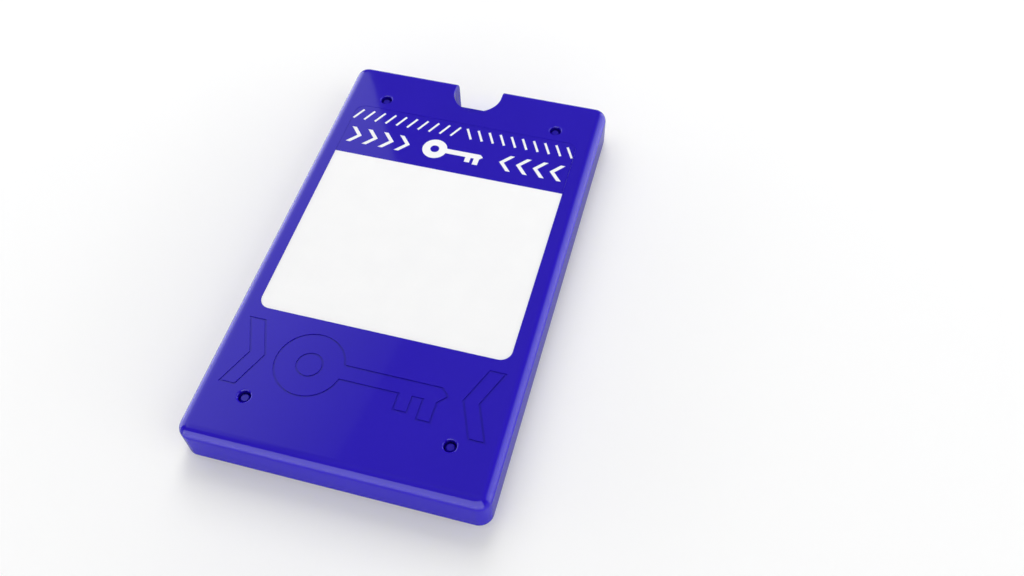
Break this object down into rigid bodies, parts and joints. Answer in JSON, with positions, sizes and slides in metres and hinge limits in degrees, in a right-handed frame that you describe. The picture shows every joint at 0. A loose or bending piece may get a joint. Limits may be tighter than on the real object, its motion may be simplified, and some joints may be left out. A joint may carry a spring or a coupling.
{
  "type": "key box",
  "caption": "Flat sealed key box that is broken open in an emergency: front shell with a half-round notch, inset back cover with four posts, barbed drive pins, blank labels and loose keys.",
  "frame": {"origin": "middle of the back face, which is the face the box lies on", "axes": "+Z out of the front face, +Y towards the notched end, +X to the right as the front face is read with the notch at the top"},
  "size_m": [0.0762, 0.127, 0.011],
  "materials": {
    "blue_plastic": "gloss moulded styrene",
    "label_sheet": "satin vinyl film",
    "black_plastic": "fine satin",
    "nickel_plate": "nickel plated, worn satin"
  },
  "bodies": {
    "cover": {"back_cover": "blue_plastic", "back_label": "label_sheet", "drive_pins": "black_plastic"},
    "shell": {"front_shell": "blue_plastic", "front_label": "label_sheet"},
    "key": {"key_blade": "nickel_plate", "key_head": "black_plastic"},
    "second_key": {"spare_key": "nickel_plate"}
  },
  "joints": [
    {"name": "shell_lift", "type": "slide", "parent": "cover", "child": "shell", "axis": [0, 0, 1], "range_m": [0, 0.03]},
    {"name": "key_shift", "type": "slide", "parent": "cover", "child": "key", "axis": [1, 0, 0], "range_m": [-0.0055, 0.0055]},
    {"name": "second_key_shift", "type": "slide", "parent": "cover", "child": "second_key", "axis": [1, 0, 0], "range_m": [-0.0055, 0.0055]}
  ]
}
